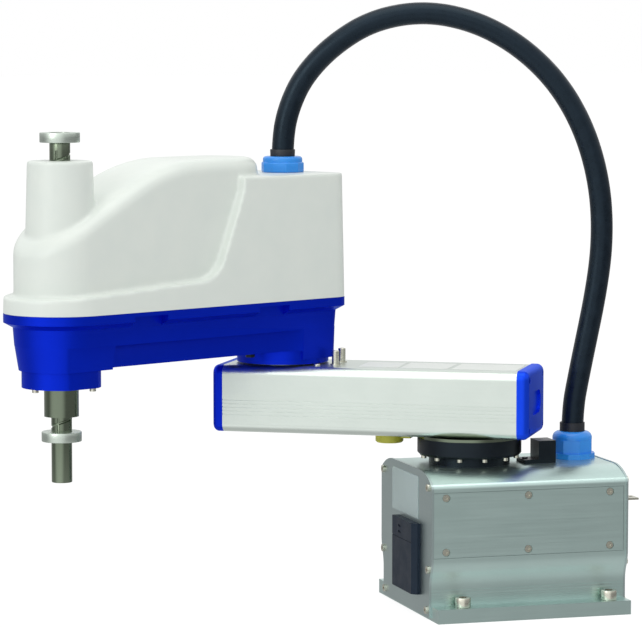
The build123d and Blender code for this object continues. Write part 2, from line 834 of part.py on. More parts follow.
with BuildPart() as j2_motor:
    with BuildSketch(joint_2.offset(floor_height)):
        Circle(28)
        Circle(12, mode=Mode.SUBTRACT)
    extrude(amount=6)
    with BuildSketch(joint_2.offset(floor_height + 6)):
        RectangleRounded(52, 52, 5)
    extrude(amount=88)
    with BuildSketch(joint_2.offset(floor_height + 94)):
        RectangleRounded(46, 46, 5)
    extrude(amount=16)
    with BuildSketch(joint_2.offset(floor_height + 6)):
        Circle(7)
    extrude(amount=-42)
save(j2_motor.part, "j2_motor")

with BuildPart() as motor_plate:
    with BuildSketch(joint_2.offset(plate_low_z)):
        with Locations((link_2, 0)):
            Circle(39)
        with Locations(((116 + link_2) / 2, 0)):
            Rectangle(link_2 - 116, 78)
        with Locations((link_2, 0)):
            Circle(14, mode=Mode.SUBTRACT)
        with Locations((theta_motor_reach, 0)):
            Circle(13, mode=Mode.SUBTRACT)
    extrude(amount=6)
save(motor_plate.part, "motor_plate")

legs = [(128, 32), (128, -32), (248, 32), (248, -32)]
with BuildPart() as motor_bracket:
    with BuildSketch(joint_2.offset(bracket_low)):
        with Locations((188, 0)):
            RectangleRounded(130, 74, 5)
        with Locations((theta_motor_reach, 0), (z_motor_reach, 0)):
            Circle(13, mode=Mode.SUBTRACT)
    extrude(amount=5)
    with BuildSketch(joint_2.offset(plate_high_z)):
        with Locations(*legs):
            Circle(4)
    extrude(amount=bracket_low - plate_high_z)
save(motor_bracket.part, "motor_bracket")


def small_motor(reach, size, height, shaft_end):
    with BuildPart() as motor:
        with BuildSketch(joint_2.offset(bracket_low + 5)):
            with Locations((reach, 0)):
                RectangleRounded(size, size, 4)
        extrude(amount=height - 12)
        with BuildSketch(joint_2.offset(bracket_low + 5 + height - 12)):
            with Locations((reach, 0)):
                RectangleRounded(size - 5, size - 5, 4)
        extrude(amount=12)
        with BuildSketch(joint_2.offset(shaft_end)):
            with Locations((reach, 0)):
                Circle(4)
        extrude(amount=bracket_low + 5 - shaft_end)
    return motor.part


save(small_motor(z_motor_reach, 42, 86, z_belt_low), "j3_motor")
save(small_motor(theta_motor_reach, 38, 78, theta_belt_low), "j4_motor")


def belt(reach, low):
    with BuildPart() as loop:
        with BuildSketch(joint_2.offset(low)):
            with Locations((link_2, 0)):
                Circle(pulley_radius + belt_thick)
            with Locations((reach, 0)):
                Circle(small_pulley_radius + belt_thick)
            make_hull()
            with BuildSketch(mode=Mode.SUBTRACT):
                with Locations((link_2, 0)):
                    Circle(pulley_radius + running_gap)
                with Locations((reach, 0)):
                    Circle(small_pulley_radius + running_gap)
                make_hull()
        extrude(amount=belt_width)
    return loop.part


save(belt(theta_motor_reach, theta_belt_low), "theta_belt")
save(belt(z_motor_reach, z_belt_low), "z_belt")


def pulley(reach, low, radius, bore):
    with BuildPart() as wheel:
        with BuildSketch(joint_2.offset(low - 1)):
            with Locations((reach, 0)):
                Circle(radius)
        extrude(amount=belt_width + 2)
        with BuildSketch(joint_2.offset(low - 1)):
            with Locations((reach, 0)):
                Circle(bore)
        extrude(amount=belt_width + 2, mode=Mode.SUBTRACT)
    return wheel.part


save(pulley(theta_motor_reach, theta_belt_low, small_pulley_radius, 4 + running_gap), "j4_motor_pulley")
save(pulley(z_motor_reach, z_belt_low, small_pulley_radius, 4 + running_gap), "j3_motor_pulley")
save(pulley(link_2, theta_belt_low, pulley_radius, sleeve_radius), "spline_pulley")
save(pulley(link_2, z_belt_low, pulley_radius, 16), "ball_nut_pulley")


def bearing(low, height, outer, inner):
    with BuildPart() as ring:
        with BuildSketch(joint_3.offset(low)):
            Circle(outer)
            Circle(inner, mode=Mode.SUBTRACT)
        extrude(amount=height)
    return ring.part


save(bearing(nose_bottom + 2, 14, 26, sleeve_radius + running_gap), "spline_bearing")
save(bearing(plate_high_z, 16, 26, 16 + running_gap), "ball_nut_bearing")

# Spline nut turns the shaft, ball screw nut lifts it
with BuildPart() as spline_nut:
    with BuildSketch(joint_3.offset(sleeve_low)):
        Circle(sleeve_radius)
        Circle(shaft_radius + running_gap, mode=Mode.SUBTRACT)
    extrude(amount=theta_belt_low + belt_width + 3 - sleeve_low)
save(spline_nut.part, "spline_nut")

with BuildPart() as ball_nut:
    with BuildSketch(joint_3.offset(plate_high_z + 1)):
        Circle(16)
        Circle(shaft_radius + running_gap, mode=Mode.SUBTRACT)
    extrude(amount=z_belt_low + belt_width + 3 - plate_high_z - 1)
save(ball_nut.part, "ball_nut")

# Hollow shaft with four spline grooves above a plain tool seat, and its two travel collars
with BuildPart() as spline_shaft:
    with BuildSketch(joint_3.offset(shaft_low)):
        Circle(tool_seat_radius)
    extrude(amount=lower_collar_low - shaft_low)
    with BuildSketch(joint_3.offset(lower_collar_low)):
        Circle(shaft_radius)
        with PolarLocations(shaft_radius, 4, 45):
            Circle(1.3, mode=Mode.SUBTRACT)
    extrude(amount=shaft_high - lower_collar_low)
    with BuildSketch(joint_3.offset(shaft_low)):
        Circle(5.5)
    extrude(amount=shaft_high - shaft_low, mode=Mode.SUBTRACT)
save(spline_shaft.part, "spline_shaft")


def collar(low):
    with BuildPart() as ring:
        with BuildSketch(joint_3.offset(low)):
            Circle(collar_radius)
            Circle(shaft_radius, mode=Mode.SUBTRACT)
            with Locations((collar_radius - 4, 0)):
                Rectangle(14, 1.5, mode=Mode.SUBTRACT)
        extrude(amount=collar_height)
        chamfer(ring.edges().filter_by(GeomType.CIRCLE).filter_by(lambda edge: edge.radius > 19), 0.8)
    return ring.part


save(collar(lower_collar_low), "lower_collar")
save(collar(upper_collar_low), "upper_collar")

# Hose, one vertical loop from the elbow gland to the base gland
hose_run = hypot(base_gland_x - elbow.X, base_gland_y - elbow.Y)
hose_heading = degrees(atan2(base_gland_y - elbow.Y, base_gland_x - elbow.X))
hose_plane = upright(frame_at(elbow.X, elbow.Y, hose_heading), 0)
hose_bends = [
    (0, 456), (0, 484), (6.2, 515.4), (21.5, 548.5), (51.5, 580.7), (93.9, 607.2),
    (147.1, 616.6), (200.1, 606.3), (246.7, 581), (285.1, 544.5), (311.9, 499.9), (328, 450.4),
    (334.3, 398.8), (331, 340), (310, 235), (hose_run, 199), (hose_run, 165),
]


def bend_radii(points):
    radii = []
    for before, here, after in zip(points, points[1:], points[2:]):
        first = (here[0] - before[0], here[1] - before[1])
        second = (after[0] - here[0], after[1] - here[1])
        turn = atan2(first[0] * second[1] - first[1] * second[0], first[0] * second[0] + first[1] * second[1])
        radii.append(0.45 * min(hypot(*first), hypot(*second)) / tan(abs(turn) / 2))
    return radii


hose_radii = bend_radii(hose_bends)
print("hose bend radii", [round(radius) for radius in hose_radii])
with BuildPart() as hose:
    with BuildLine(hose_plane) as route:
        FilletPolyline(*hose_bends, radius=hose_radii)
    with BuildSketch(Plane(origin=route.line @ 0, z_dir=route.line % 0)):
        Circle(hose_radius)
        Circle(hose_radius - hose_wall, mode=Mode.SUBTRACT)
    sweep()
print("hose length", round(sum(edge.length for edge in route.edges())))
save(hose.part, "hose")
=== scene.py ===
# Looks for the four-axis arm: finishes, hose, base screws, bare plates, floor, light and camera
import json
import math

import bpy
from mathutils import Euler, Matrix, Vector


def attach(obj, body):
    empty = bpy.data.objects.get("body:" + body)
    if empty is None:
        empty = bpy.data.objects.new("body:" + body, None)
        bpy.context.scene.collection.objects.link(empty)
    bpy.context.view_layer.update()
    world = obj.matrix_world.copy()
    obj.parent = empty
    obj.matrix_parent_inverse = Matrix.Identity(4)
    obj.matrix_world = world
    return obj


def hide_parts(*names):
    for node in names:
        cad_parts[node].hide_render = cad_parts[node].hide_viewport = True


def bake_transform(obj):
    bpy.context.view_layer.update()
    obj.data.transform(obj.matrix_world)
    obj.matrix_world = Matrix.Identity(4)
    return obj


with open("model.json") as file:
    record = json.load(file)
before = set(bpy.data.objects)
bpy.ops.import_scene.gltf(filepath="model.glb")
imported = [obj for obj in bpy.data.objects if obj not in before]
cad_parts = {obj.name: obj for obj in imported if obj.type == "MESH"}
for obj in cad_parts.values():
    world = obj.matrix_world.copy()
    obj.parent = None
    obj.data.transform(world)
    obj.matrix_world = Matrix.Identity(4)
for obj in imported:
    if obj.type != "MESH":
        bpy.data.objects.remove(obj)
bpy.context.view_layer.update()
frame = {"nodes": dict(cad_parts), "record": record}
nodes = frame["nodes"]
MM = 0.001

# Joint axes and arm directions in the photographed pose, metres and degrees
ARM_1_ANGLE = 149.6
ARM_2_ANGLE = 207.4
SHOULDER = Vector((-42.5, 0, 0)) * MM


def heading(angle):
    return Vector((math.cos(math.radians(angle)), math.sin(math.radians(angle)), 0))


ELBOW = SHOULDER + heading(ARM_1_ANGLE) * 200 * MM
WRIST = ELBOW + heading(ARM_2_ANGLE) * 300 * MM
BASE_GLAND = Vector((73.9, 7.2, 0)) * MM


# Camera, a long lens a little above the arm
def photo_camera():
    data = bpy.data.cameras.new("photo_camera")
    data.sensor_width = 36
    data.lens = 188.4
    data.clip_end = 100
    camera = bpy.data.objects.new("photo_camera", data)
    bpy.context.scene.collection.objects.link(camera)
    camera.location = Vector((-1167.5, -3277.2, 611.3)) * MM
    camera.rotation_euler = Euler((math.radians(84.932), 0, math.radians(-16.4)), "XYZ")
    bpy.context.scene.camera = camera


def soft_lamp(name, place, target, size, watts, colour):
    data = bpy.data.lights.new(name, "AREA")
    data.shape = "RECTANGLE"
    data.size, data.size_y = size
    data.energy = watts
    data.color = colour
    lamp = bpy.data.objects.new(name, data)
    bpy.context.scene.collection.objects.link(lamp)
    lamp.location = place
    lamp.rotation_euler = (Vector(target) - Vector(place)).to_track_quat("-Z", "Y").to_euler()


# Node helpers
def linear(hex_colour):
    values = [int(hex_colour[i : i + 2], 16) / 255 for i in (1, 3, 5)]
    return [v / 12.92 if v <= 0.04045 else ((v + 0.055) / 1.055) ** 2.4 for v in values] + [1]


def add_node(tree, kind, settings=None, inputs=None):
    """A node with its settings, and its inputs set to values or joined to sockets."""
    made = tree.nodes.new(kind)
    for name, value in (settings or {}).items():
        setattr(made, name, value)
    for name, value in (inputs or {}).items():
        if isinstance(value, bpy.types.NodeSocket):
            tree.links.new(value, made.inputs[name])
        else:
            made.inputs[name].default_value = value
    return made


def new_finish(name, colour, roughness, metallic=0.0, **extra):
    """An empty material with its shader; returns the material, its tree and the shader."""
    finish = bpy.data.materials.new(name)
    finish.use_nodes = True
    tree = finish.node_tree
    tree.nodes.clear()
    shader = add_node(
        tree, "ShaderNodeBsdfPrincipled",
        inputs={"Base Color": linear(colour), "Roughness": roughness, "Metallic": metallic, **extra},
    )
    add_node(tree, "ShaderNodeOutputMaterial", inputs={"Surface": shader.outputs[0]})
    return finish, tree, shader


def grain(tree, scale, detail=4.0, turn=0.0, stretch=(1, 1, 1)):
    """Noise on object coordinates, stretched along a turned direction; scale is per metre."""
    place = add_node(tree, "ShaderNodeTexCoord")
    turned = add_node(
        tree, "ShaderNodeMapping",
        inputs={"Vector": place.outputs["Object"], "Rotation": (0, 0, -math.radians(turn))},
    )
    stretched = add_node(
        tree, "ShaderNodeVectorMath", {"operation": "MULTIPLY"}, {0: turned.outputs[0], 1: stretch}
    )
    return add_node(
        tree, "ShaderNodeTexNoise",
        inputs={"Vector": stretched.outputs[0], "Scale": scale, "Detail": detail, "Roughness": 0.6},
    )


def vary_roughness(tree, shader, value, low, high):
    """Roughness between two limits; noise mostly lies between 0.3 and 0.7."""
    spread = add_node(
        tree, "ShaderNodeMapRange",
        inputs={"Value": value, "From Min": 0.3, "From Max": 0.7, "To Min": low, "To Max": high},
    )
    tree.links.new(spread.outputs[0], shader.inputs["Roughness"])


def tone_gloss(shader, level, colour):
    """Weaker, slightly coloured reflection of a dark or strongly coloured surface."""
    shader.inputs["Specular IOR Level"].default_value = level
    shader.inputs["Specular Tint"].default_value = (*colour, 1)


def press(tree, shader, height, depth, strength=1.0):
    """Bump of a real depth in metres."""
    bump = add_node(
        tree, "ShaderNodeBump", inputs={"Height": height, "Distance": depth, "Strength": strength}
    )
    tree.links.new(bump.outputs[0], shader.inputs["Normal"])


def tint(tree, shader, value, dark, light):
    """Colour that drifts between two close shades."""
    mixed = add_node(
        tree, "ShaderNodeMix", {"data_type": "RGBA"},
        {0: value, 6: linear(dark), 7: linear(light)},
    )
    tree.links.new(mixed.outputs[2], shader.inputs["Base Color"])


# Finishes
def anodised_extrusion(name, turn, dark, light):
    """Clear anodised aluminium: satin, with faint draw lines along its length."""
    finish, tree, shader = new_finish(name, light, 0.34, metallic=1.0)
    lines = grain(tree, 900, turn=turn, stretch=(0.012, 1, 1))
    blotch = grain(tree, 22, detail=3)
    vary_roughness(tree, shader, lines.outputs[0], 0.3, 0.38)
    tint(tree, shader, blotch.outputs[0], dark, light)
    press(tree, shader, lines.outputs[0], 0.00001)
    return finish


def moulded_shell(name, colour, light, roughness):
    """Injection moulded ABS cover: near white, semi gloss, with the faint ripple of a large mould."""
    finish, tree, shader = new_finish(name, colour, roughness, IOR=1.5)
    ripple = grain(tree, 35, detail=2)
    pores = grain(tree, 1600, detail=2)
    tint(tree, shader, ripple.outputs[0], colour, light)
    vary_roughness(tree, shader, pores.outputs[0], roughness - 0.05, roughness + 0.06)
    press(tree, shader, pores.outputs[0], 0.00002)
    return finish


def gloss_enamel(name, colour, light, roughness=0.36):
    """Sprayed metallic enamel on a casting: deep colour with a slight orange peel."""
    finish, tree, shader = new_finish(name, colour, roughness, metallic=0.65, IOR=1.45)
    tone_gloss(shader, 0.3, (0.35, 0.55, 1))
    peel = grain(tree, 420, detail=2)
    drift = grain(tree, 30, detail=3)
    tint(tree, shader, drift.outputs[0], colour, light)
    press(tree, shader, peel.outputs[0], 0.00004)
    return finish


def satin_black(name, colour, roughness, depth=0.00003):
    """Blackened or painted metal: dull black with a dusty variation."""
    finish, tree, shader = new_finish(name, colour, roughness, IOR=1.5)
    tone_gloss(shader, 0.3, (0.6, 0.8, 1))
    dust = grain(tree, 60, detail=6)
    grit = grain(tree, 1400, detail=2)
    vary_roughness(tree, shader, dust.outputs[0], roughness - 0.08, roughness + 0.1)
    press(tree, shader, grit.outputs[0], depth)
    return finish


def turned_metal(name, colour, roughness, turn=0.0):
    """Machined steel: bright, with fine tool rings stacked along its axis."""
    finish, tree, shader = new_finish(name, colour, roughness, metallic=1.0)
    rings = grain(tree, 1200, turn=turn, stretch=(0.05, 0.05, 1))
    vary_roughness(tree, shader, rings.outputs[0], roughness - 0.07, roughness + 0.1)
    press(tree, shader, rings.outputs[0], 0.000015)
    return finish


def plain_plastic(name, colour, light, roughness, depth=0.00003):
    """Moulded plastic, rubber or label stock: even colour, fine spark texture."""
    finish, tree, shader = new_finish(name, colour, roughness, IOR=1.5)
    spark = grain(tree, 900, detail=3)
    drift = grain(tree, 60, detail=2)
    tint(tree, shader, drift.outputs[0], colour, light)
    press(tree, shader, spark.outputs[0], depth)
    return finish


def hose_jacket():
    """PVC hose jacket: black, glossy, with shallow ripples along its length."""
    finish, tree, shader = new_finish("pvc_hose_jacket", "#0E141B", 0.28, IOR=1.5)
    tone_gloss(shader, 0.25, (0.55, 0.8, 1))
    ripple = grain(tree, 90, detail=3)
    vary_roughness(tree, shader, ripple.outputs[0], 0.22, 0.4)
    tint(tree, shader, ripple.outputs[0], "#0B1017", "#18212B")
    press(tree, shader, ripple.outputs[0], 0.0002)
    return finish


finishes = {
    "white_cover": moulded_shell("moulded_abs_white", "#D8E0DB", "#E0E6E0", 0.34),
    "blue_paint": gloss_enamel("cobalt_enamel", "#0322BC", "#0426C6"),
    "blue_plastic_cap": gloss_enamel("cobalt_moulded_cap", "#1440DC", "#1848E4"),
    "blue_plastic": plain_plastic("blue_nylon_gland", "#2A8AE6", "#3194EE", 0.3),
    "black_metal": satin_black("black_oxide_steel", "#0D1013", 0.36),
    "black_plastic": satin_black("black_textured_plastic", "#161E2A", 0.55, 0.00005),
    "screw_steel": turned_metal("zinc_plated_screw", "#C9C8BA", 0.26),
    "machined_steel": turned_metal("ground_steel", "#75806F", 0.16),
    "plain_aluminium": turned_metal("turned_aluminium", "#BCC6BD", 0.34),
    "fitting_brass": turned_metal("nickel_brass", "#B79B5A", 0.3),
    "yellow_urethane": plain_plastic("yellow_urethane", "#B3B33A", "#BDBD46", 0.5),
    "black_rubber": plain_plastic("black_rubber_seal", "#10151C", "#161C24", 0.5),
}
blank_label = plain_plastic("blank_label_stock", "#D9DEDA", "#DEE3DF", 0.4, 0.00001)
silver_label = plain_plastic("silver_label_stock", "#A3B4B3", "#A9BAB8", 0.4, 0.00001)
base_skin = anodised_extrusion("anodised_extrusion_base", 0, "#B4CAC6", "#BFD4D0")
arm_skin = anodised_extrusion("anodised_extrusion_arm", ARM_1_ANGLE, "#C1CAC4", "#CBD3CD")
plate_skin = anodised_extrusion("anodised_plate", 90, "#A8B8B7", "#B2C2C1")


def skin_of(node, slot):
    """The anodised pieces differ by their draw lines' direction and their shade."""
    if slot != "anodised_aluminium":
        return finishes.get(slot, finishes["black_rubber"])
    if node.endswith("end_plate"):
        return plate_skin
    return arm_skin if node.startswith("arm_1") else base_skin


for part in frame["record"]["subparts"]:
    piece = nodes[part["node"]]
    piece.data.materials.clear()
    piece.data.materials.append(skin_of(part["node"], part["material_slot"]))


# Hose, the same points as the solid's route, as control points of one smooth line,
# each as reach from the elbow gland toward the base gland and height, in millimetres
HOSE_RADIUS = 11.5 * MM
toward_base = BASE_GLAND - ELBOW
hose_run = toward_base.length / MM
hose_bends = [
    (0, 456), (0, 484), (6.2, 515.4), (21.5, 548.5), (51.5, 580.7), (93.9, 607.2),
    (147.1, 616.6), (200.1, 606.3), (246.7, 581), (285.1, 544.5), (311.9, 499.9), (328, 450.4),
    (334.3, 398.8), (331, 340), (310, 235), (hose_run, 199), (hose_run, 165),
]


def hose_line(name, bevel):
    data = bpy.data.curves.new(name, "CURVE")
    data.dimensions = "3D"
    data.resolution_u = 12
    data.bevel_depth = bevel
    data.bevel_resolution = 10
    data.use_fill_caps = True
    spline = data.splines.new("NURBS")
    spline.points.add(len(hose_bends) - 1)
    along = toward_base.normalized()
    for point, (reach, height) in zip(spline.points, hose_bends):
        point.co = (*(ELBOW + along * reach * MM + Vector((0, 0, height * MM))), 1)
    spline.order_u = 3
    spline.use_endpoint_u = True
    line = bpy.data.objects.new(name, data)
    bpy.context.scene.collection.objects.link(line)
    return line


def make_hose():
    bare = hose_line("hose_path", 0)
    bpy.context.view_layer.update()
    read = bpy.data.meshes.new_from_object(bare.evaluated_get(bpy.context.evaluated_depsgraph_get()))
    bpy.data.meshes.remove(read)
    bpy.data.objects.remove(bare)
    tube = hose_line("hose_tube", HOSE_RADIUS)
    bpy.ops.object.select_all(action="DESELECT")
    bpy.context.view_layer.objects.active = tube
    tube.select_set(True)
    bpy.ops.object.convert(target="MESH")
    tube = bpy.context.view_layer.objects.active
    bpy.ops.object.shade_smooth()
    tube.data.materials.clear()
    tube.data.materials.append(hose_jacket())
    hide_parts("hose")
    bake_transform(tube)


# Shaping helpers: blocks from an outline, cut and joined by modifiers
def only(piece):
    bpy.ops.object.select_all(action="DESELECT")
    bpy.context.view_layer.objects.active = piece
    piece.select_set(True)


def block(name, low_points, high_points):
    """Closed block between two rings of places with as many points each, its faces turned outward."""
    bpy.ops.mesh.primitive_cylinder_add(vertices=len(low_points), radius=1, depth=1)
    piece = bpy.context.object
    piece.name = name
    for i, (low, high) in enumerate(zip(low_points, high_points)):
        piece.data.vertices[2 * i].co = low
        piece.data.vertices[2 * i + 1].co = high
    bpy.ops.object.mode_set(mode="EDIT")
    bpy.ops.mesh.select_all(action="SELECT")
    bpy.ops.mesh.normals_make_consistent(inside=False)
    bpy.ops.object.mode_set(mode="OBJECT")
    return piece


def on_arm_2(along, side, height):
    """Place on the second arm, from the elbow toward the nose, toward the camera's side, and up."""
    across = heading(ARM_2_ANGLE + 90)
    return ELBOW + (heading(ARM_2_ANGLE) * along + across * side + Vector((0, 0, height))) * MM


def slab(name, outline, low, high, top=None):
    """Upright block on the second arm, its plan given in millimetres; the top may have another outline."""
    low_ring = [on_arm_2(x, y, low) for x, y in outline]
    high_ring = [on_arm_2(x, y, high) for x, y in top or outline]
    return block(name, low_ring, high_ring)


def side_slab(name, outline, reach):
    """Block through the second arm from side to side, its side view given in millimetres."""
    near_ring = [on_arm_2(x, reach, z) for x, z in outline]
    far_ring = [on_arm_2(x, -reach, z) for x, z in outline]
    return block(name, near_ring, far_ring)


def arc(x, y, radius, start, end, steps):
    turns = [math.radians(start + (end - start) * i / steps) for i in range(steps + 1)]
    return [(x + radius * math.cos(turn), y + radius * math.sin(turn)) for turn in turns]


def modify(piece, kind, **settings):
    only(piece)
    made = piece.modifiers.new(kind.lower(), kind)
    for name, value in settings.items():
        setattr(made, name, value)
    bpy.ops.object.modifier_apply(modifier=made.name)


def combine(piece, other, operation):
    modify(piece, "BOOLEAN", object=other, operation=operation, solver="EXACT")
    bpy.data.objects.remove(other)


def round_edges(piece, width, segments=2, angle=40):
    modify(
        piece, "BEVEL", width=width * MM, segments=segments, limit_method="ANGLE",
        angle_limit=math.radians(angle),
    )


def dress(piece, slot, body, *stands_for):
    only(piece)
    bpy.ops.object.shade_smooth_by_angle(angle=math.radians(32))
    piece.data.materials.clear()
    piece.data.materials.append(finishes[slot])
    if stands_for:
        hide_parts(*stands_for)
    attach(piece, body)


def polar(centre, radius, turn):
    """Plan place at an angle around a centre, in millimetres and degrees."""
    return (
        centre[0] + radius * math.cos(math.radians(turn)),
        centre[1] + radius * math.sin(math.radians(turn)),
    )


def post(name, centre, radius, low, high, sides=48, turn=0.0, top_radius=None):
    """Upright round or many-sided block anywhere in the frame, in millimetres."""
    turns = [turn + 360 * i / sides for i in range(sides)]
    low_ring = [Vector((*polar(centre, radius, t), low)) * MM for t in turns]
    high_ring = [Vector((*polar(centre, top_radius or radius, t), high)) * MM for t in turns]
    return block(name, low_ring, high_ring)


# Second arm in millimetres: along it from the elbow, and heights above the floor
REACH = 300
NOSE = 56.9
REAR = -22.6
REAR_HALF = 41
REAR_CORNER = 20
SEAM = 320
PLATFORM = 449
HUMP_TOP = 468
TOWER_TOP = 469.8
WIDE = 90
BEYOND_NOSE = 400
elbow_place = (ELBOW.x / MM, ELBOW.y / MM)
wrist_place = (WRIST.x / MM, WRIST.y / MM)


def arm_outline(inset):
    """Plan shared by the casting's lip and the cover's skirt: round nose, two rounded rear corners."""
    corner = REAR_CORNER - inset
    return (
        arc(REACH, 0, NOSE - inset, -89.3, 89.3, 48)
        + arc(REAR, REAR_HALF, corner, 89.3, 180, 10)
        + arc(REAR, -REAR_HALF, corner, 180, 270.7, 10)
    )


def make_cover():
    """Moulded cover: skirt with its sloping ledge, ramped hump, and the tower, run together softly."""
    inside = SEAM - 20
    skirt_step = 0.3
    draft = (PLATFORM - SEAM) * math.tan(math.radians(1.2))
    cover = slab("moulded_cover", arm_outline(-skirt_step), inside, PLATFORM, arm_outline(draft))
    ledge_bend = (165, 380.6, 34)
    ledge = [(BEYOND_NOSE, 333.5), (165, 346.6)] + arc(*ledge_bend, 267, 204, 10)
    ledge += [(106, 435), (101, 500), (BEYOND_NOSE, 500)]
    combine(cover, side_slab("ledge_cut", ledge, WIDE), "DIFFERENCE")

    hump_half = 46.5
    hump_rear = 99
    plan = arc(REACH, 0, hump_half, -90, 90, 32) + arc(hump_rear, 0, hump_half, 90, 270, 32)
    hump = slab("hump", plan, inside, HUMP_TOP)
    crest = 145
    crest_radius = 200
    ramp = [(BEYOND_NOSE, 358)] + arc(crest, HUMP_TOP - crest_radius, crest_radius, 61.5, 90, 14)
    ramp += [(crest, 520), (BEYOND_NOSE, 520)]
    combine(hump, side_slab("ramp_cut", ramp, WIDE), "DIFFERENCE")
    round_edges(hump, 13, 6, 50)
    combine(cover, hump, "UNION")

    foot = arc(REACH, 0, 35.6, 0, 354, 59)
    top = arc(REACH, 0, 32.4, 0, 354, 59)
    combine(cover, slab("tower", foot, 360, TOWER_TOP, top), "UNION")

    # One skin over the joined blocks, eased so that they blend, then cut off at the seam
    modify(cover, "REMESH", mode="VOXEL", voxel_size=1.7 * MM, adaptivity=0)
    modify(cover, "SMOOTH", factor=0.5, iterations=10)
    only(cover)
    bpy.ops.object.mode_set(mode="EDIT")
    bpy.ops.mesh.select_all(action="SELECT")
    seam_gap = 0.2
    bpy.ops.mesh.bisect(
        plane_co=(0, 0, (SEAM + seam_gap) * MM), plane_no=(0, 0, 1), use_fill=True, clear_inner=True
    )
    bpy.ops.object.mode_set(mode="OBJECT")
    dress(cover, "white_cover", "arm_2", "arm_2_cover")


def make_casting():
    """Casting: sloping lip with four notches, tapered band, narrow web, rear shank, bowl, nose and boss."""
    lip_reach = 9.3
    lip_low = 306
    lip_edge = 311
    band_low = 288
    into = band_low + 1
    casting = slab("casting", arm_outline(lip_reach), 305.5, 312)
    lip = slab("lip", arm_outline(0), lip_edge, SEAM)
    underside = slab("lip_underside", arm_outline(lip_reach), lip_low, lip_edge + 0.01, arm_outline(0))
    combine(lip, underside, "UNION")
    combine(casting, lip, "UNION")
    band = slab("band", arm_outline(10.7), band_low, lip_low, arm_outline(lip_reach))
    combine(casting, band, "UNION")

    # Web and shank draw in toward their undersides
    draw = 0.965
    rear = arc(-23.5, 41, 9, 90, 180, 6) + arc(-23.5, -41, 9, 180, 270, 6)
    web = [(REACH, -38), (REACH, 38), (37.5, 38), (16.5, 50)] + rear + [(16.5, -50), (37.5, -38)]
    combine(casting, slab("web", [(x, y * draw) for x, y in web], 265.5, into, web), "UNION")
    shank = rear + [(16.5, -50), (16.5, 50)]
    combine(casting, slab("shank", [(x, y * draw) for x, y in shank], 256.7, into, shank), "UNION")

    # Bowl and nose are round in front and flat along both sides
    bowl = arc(REACH, 0, 46.2, -61, 61, 32) + [(263.5, 40.4), (263.5, -40.4)]
    low_bowl = arc(REACH, 0, 42.1, -61, 61, 32) + [(264.5, 36.8), (264.5, -36.8)]
    combine(casting, slab("bowl", low_bowl, 263.5, into, bowl), "UNION")
    nose = arc(REACH, 0, 39.3, -64, 64, 36) + arc(REACH, 0, 39.3, 116, 244, 36)
    combine(casting, slab("nose", nose, 246.3, 270), "UNION")
    boss = arc(0, 0, 48, 0, 355, 71)
    combine(casting, slab("boss", boss, 251.4, 280), "UNION")

    for low, high, inner in ((210, 252.5, 48.3), (46.5, 87.5, 50.4)):
        for side in (1, -1):
            ends = sorted((inner * side, 70 * side))
            plan = [(low, ends[0]), (high, ends[0]), (high, ends[1]), (low, ends[1])]
            combine(casting, slab("notch", plan, 304.9, 316.2), "DIFFERENCE")
    round_edges(casting, 0.7, 2, 34)
    dress(casting, "blue_paint", "arm_2", "arm_2_casting")


def make_arm_gland():
    """Gland nut on the cover's platform, ten flats under a round crown, and the hose's black sleeve."""
    nut = post("arm_gland_crown", elbow_place, 22.3, PLATFORM, 459.6, 10, 12)
    round_edges(nut, 1.4, 3)
    crown = post("crown", elbow_place, 20.6, 456, 465.6, 64)
    round_edges(crown, 3, 5, 60)
    combine(nut, crown, "UNION")
    dress(nut, "blue_plastic", "arm_2", "arm_gland_nut", "arm_gland_body")
    sleeve = post("hose_sleeve", elbow_place, 12.6, 460, 472.8, 48, 0, 13.1)
    round_edges(sleeve, 0.5, 2, 60)
    dress(sleeve, "black_rubber", "arm_2", "arm_gland_seal")


# Tool shaft in millimetres
SHAFT_RADIUS = 10.25
TRACK_CIRCLE = 10.7
COLLAR_RADIUS = 19.9


def ball_track():
    """Round bar along the helix of the shaft's ball track, from above the tool end to its top."""
    lead = 20
    turns = 14
    steps_per_turn = 40
    first_height = 200
    first_turn = 0.9
    line = bpy.data.curves.new("ball_track", "CURVE")
    line.dimensions = "3D"
    line.bevel_depth = 1.5 * MM
    line.bevel_resolution = 2
    line.use_fill_caps = True
    track = line.splines.new("POLY")
    track.points.add(turns * steps_per_turn)
    for i, point in enumerate(track.points):
        turn = 2 * math.pi * i / steps_per_turn + first_turn
        place = WRIST + Vector((math.cos(turn), math.sin(turn), 0)) * TRACK_CIRCLE * MM
        point.co = (place.x, place.y, (first_height + lead * i / steps_per_turn) * MM, 1)
    bar = bpy.data.objects.new("ball_track", line)
    bpy.context.scene.collection.objects.link(bar)
    only(bar)
    bpy.ops.object.convert(target="MESH")
    return bpy.context.view_layer.objects.active


def make_shaft():
    """Ground screw shaft: a helical ball track, four straight spline tracks and a plain tool end."""
    shaft = post("screw_shaft", wrist_place, SHAFT_RADIUS, 151.3, 497, 96)
    round_edges(shaft, 0.8, 2, 60)
    combine(shaft, ball_track(), "DIFFERENCE")
    for quarter in range(4):
        spot = polar(wrist_place, TRACK_CIRCLE, ARM_2_ANGLE + 30.6 + 90 * quarter)
        combine(shaft, post("spline_track", spot, 1.25, 196, 480, 12), "DIFFERENCE")
    dress(shaft, "machined_steel", "tool_shaft", "spline_shaft")


def make_collar(name, low, high):
    collar = post(name, wrist_place, COLLAR_RADIUS, low, high, 96)
    round_edges(collar, 0.6, 2, 60)
    bore = post("collar_bore", wrist_place, SHAFT_RADIUS + 0.05, low - 1, high + 1, 64)
    combine(collar, bore, "DIFFERENCE")
    dress(collar, "plain_aluminium", "tool_shaft", name)


